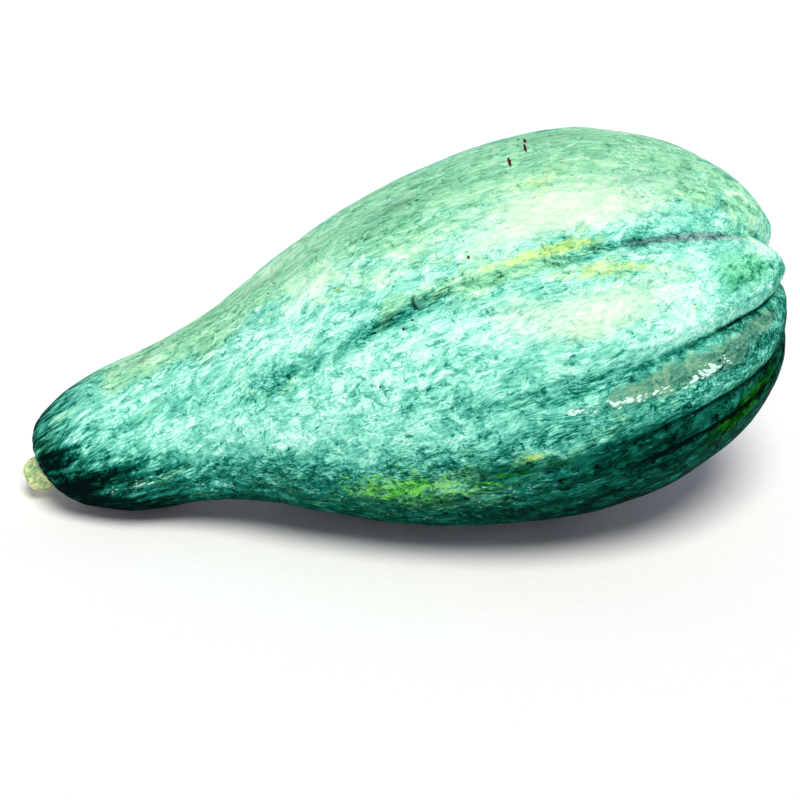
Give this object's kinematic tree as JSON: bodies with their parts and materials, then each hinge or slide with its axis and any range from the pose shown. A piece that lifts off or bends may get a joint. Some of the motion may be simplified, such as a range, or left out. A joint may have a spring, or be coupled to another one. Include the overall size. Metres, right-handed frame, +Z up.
{
  "type": "banana squash",
  "caption": "Whole pear-shaped winter squash with a lobed bulb, a narrow neck and a short cut stem stub, lying on its side.",
  "frame": {"origin": "on the ground under the middle of the object's box", "axes": "+X along the fruit from the stem end to the blossom end, -Y the front with the furrows, +Z up"},
  "size_m": [0.3986, 0.198, 0.2033],
  "materials": {
    "rind": "waxy satin rind, mottled mint and teal green with pale flecks and dark furrows",
    "stem_cork": "dry matte corky stem, pale yellow-green"
  },
  "bodies": {
    "root": {"fruit": "rind", "stem": "stem_cork"}
  },
  "joints": []
}
